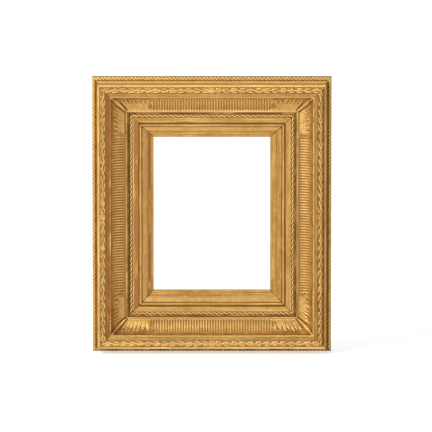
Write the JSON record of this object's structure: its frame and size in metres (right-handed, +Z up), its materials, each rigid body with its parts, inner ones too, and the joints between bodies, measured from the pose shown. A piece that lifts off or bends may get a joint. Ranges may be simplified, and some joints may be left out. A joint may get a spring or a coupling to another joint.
{
  "type": "picture frame",
  "caption": "Deep rectangular gilded picture frame with a fluted cove, laurel top edge, rope borders and acanthus corners; turn buttons hold a canvas in its rebate and rings hang it.",
  "frame": {"origin": "middle of the frame's depth and width, on the surface under its bottom edge", "axes": "+Z up, +X to the right seen from the front, -Y towards the viewer, +Y towards the wall"},
  "size_m": [0.52, 0.1004, 0.602],
  "materials": {
    "gilded_moulding": "satin",
    "gilded_ornament": "satin",
    "bare_pine": "matte",
    "oak_peg": "matte",
    "iron_nail": "rough",
    "aged_brass": "satin"
  },
  "bodies": {
    "root": {"back_board_bottom": "bare_pine", "back_board_left": "bare_pine", "back_board_top": "bare_pine", "back_board_right": "bare_pine", "edge_moulding_bottom": "gilded_moulding", "edge_moulding_left": "gilded_moulding", "edge_moulding_top": "gilded_moulding", "edge_moulding_right": "gilded_moulding", "cove_moulding_bottom": "gilded_moulding", "cove_moulding_left": "gilded_moulding", "cove_moulding_top": "gilded_moulding", "cove_moulding_right": "gilded_moulding", "sight_moulding_bottom": "gilded_moulding", "sight_moulding_left": "gilded_moulding", "sight_moulding_top": "gilded_moulding", "sight_moulding_right": "gilded_moulding", "outer_rope_bottom": "gilded_ornament", "outer_rope_left": "gilded_ornament", "outer_rope_top": "gilded_ornament", "outer_rope_right": "gilded_ornament", "laurel_band_bottom": "gilded_ornament", "laurel_band_left": "gilded_ornament", "laurel_band_top": "gilded_ornament", "laurel_band_right": "gilded_ornament", "flute_strip_bottom": "gilded_ornament", "flute_strip_left": "gilded_ornament", "flute_strip_top": "gilded_ornament", "flute_strip_right": "gilded_ornament", "inner_rope_bottom": "gilded_ornament", "inner_rope_left": "gilded_ornament", "inner_rope_top": "gilded_ornament", "inner_rope_right": "gilded_ornament", "corner_leaf_bottom_left": "gilded_ornament", "corner_leaf_top_left": "gilded_ornament", "corner_leaf_top_right": "gilded_ornament", "corner_leaf_bottom_right": "gilded_ornament", "corner_pegs": "oak_peg", "moulding_nails": "iron_nail", "turn_button_screws": "aged_brass", "hanger_strap_left": "aged_brass", "hanger_strap_right": "aged_brass", "hanger_screws": "aged_brass"},
    "turn_button_bottom": {"turn_button_bottom": "aged_brass"},
    "turn_button_left": {"turn_button_left": "aged_brass"},
    "turn_button_top": {"turn_button_top": "aged_brass"},
    "turn_button_right": {"turn_button_right": "aged_brass"},
    "hanger_ring_left": {"hanger_ring_left": "aged_brass"},
    "hanger_ring_right": {"hanger_ring_right": "aged_brass"}
  },
  "joints": [
    {"name": "turn_button_bottom_spin", "type": "hinge", "parent": "root", "child": "turn_button_bottom", "pos_m": [0, 0.04425, 0.113], "axis": [0, 1, 0], "continuous": true},
    {"name": "turn_button_left_spin", "type": "hinge", "parent": "root", "child": "turn_button_left", "pos_m": [-0.147, 0.04425, 0.301], "axis": [0, 1, 0], "continuous": true},
    {"name": "turn_button_top_spin", "type": "hinge", "parent": "root", "child": "turn_button_top", "pos_m": [0, 0.04425, 0.489], "axis": [0, 1, 0], "continuous": true},
    {"name": "turn_button_right_spin", "type": "hinge", "parent": "root", "child": "turn_button_right", "pos_m": [0.147, 0.04425, 0.301], "axis": [0, 1, 0], "continuous": true},
    {"name": "hanger_ring_left_swing", "type": "hinge", "parent": "root", "child": "hanger_ring_left", "pos_m": [-0.175, 0.04725, 0.412], "axis": [0, 0, 1], "range_deg": [0, 150]},
    {"name": "hanger_ring_right_swing", "type": "hinge", "parent": "root", "child": "hanger_ring_right", "pos_m": [0.175, 0.04725, 0.412], "axis": [0, 0, -1], "range_deg": [0, 150]}
  ]
}
